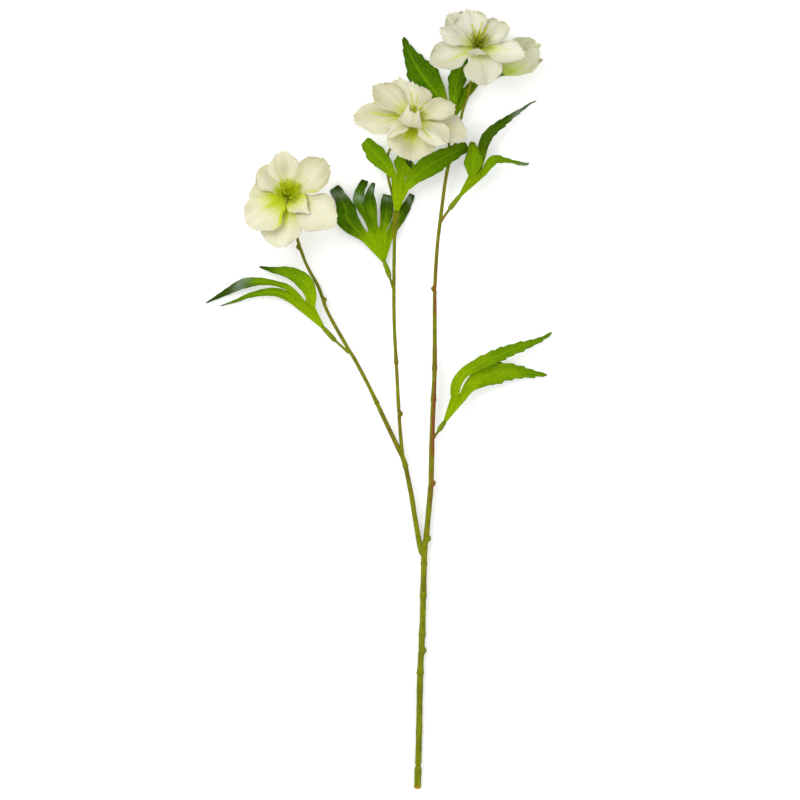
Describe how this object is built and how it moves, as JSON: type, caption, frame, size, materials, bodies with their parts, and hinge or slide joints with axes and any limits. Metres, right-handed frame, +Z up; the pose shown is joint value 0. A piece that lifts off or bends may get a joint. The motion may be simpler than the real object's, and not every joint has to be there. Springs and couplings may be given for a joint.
{
  "type": "cut hellebore",
  "caption": "Cut branching hellebore stem lying on its back, with open double cream flowers, a half-open bud and divided leaves.",
  "frame": {"origin": "centre of the bounding box on its underside, where the stem and leaves lie on the surface", "axes": "+Y runs along the spray from the cut end of the stem to the top flower; +Z is up, away from the surface, and the open flowers look up along it; +X is to the right seen from above with the flowers away from the viewer"},
  "size_m": [0.2958, 0.661, 0.0658],
  "materials": {
    "stem": "satin, olive to yellow-green",
    "leaf": "satin, bright green with fine lengthwise veins",
    "leaf_dark": "satin, dark green",
    "petal": "matt, cream with a yellow-green base",
    "centre": "matt, yellow-green"
  },
  "bodies": {
    "root": {"main_stem": "stem", "left_stem": "stem", "middle_stem": "stem", "middle_pedicel": "stem", "top_pedicel": "stem", "bud_pedicel": "stem", "left_leaf_stalk": "stem", "right_leaf_stalk": "stem", "upper_leaf_stalk": "stem", "lower_leaf_stalk": "stem", "back_leaf_stalk": "stem", "left_receptacle": "stem", "middle_receptacle": "stem", "top_receptacle": "stem", "bud_receptacle": "stem", "left_leaf": "leaf", "right_leaf": "leaf", "upper_leaf": "leaf", "whorl_leaf": "leaf", "lower_leaf": "leaf_dark", "back_leaf": "leaf_dark", "left_petal_upper_left": "petal", "left_petal_top": "petal", "left_petal_upper_right": "petal", "left_petal_lower_right": "petal", "left_petal_inner": "petal", "left_petal_bottom": "petal", "left_petal_lower_left": "petal", "left_petal_left": "petal", "middle_petal_top": "petal", "middle_petal_upper_left": "petal", "middle_petal_left": "petal", "middle_petal_lower_left": "petal", "middle_petal_bottom": "petal", "middle_petal_inner": "petal", "middle_petal_lower_right": "petal", "middle_petal_right": "petal", "middle_petal_upper_right": "petal", "top_petal_top": "petal", "top_petal_behind": "petal", "top_petal_upper_left": "petal", "top_petal_left": "petal", "top_petal_lower_left": "petal", "top_petal_bottom": "petal", "top_petal_inner": "petal", "top_petal_right": "petal", "top_petal_upper_right": "petal", "bud_petal_front": "petal", "bud_petal_upper": "petal", "bud_petal_behind": "petal", "bud_petal_under": "petal", "bud_petal_inner": "petal", "left_stamens": "centre", "left_pistil": "centre", "middle_stamens": "centre", "middle_pistil": "centre", "top_stamens": "centre", "top_pistil": "centre"}
  },
  "joints": []
}
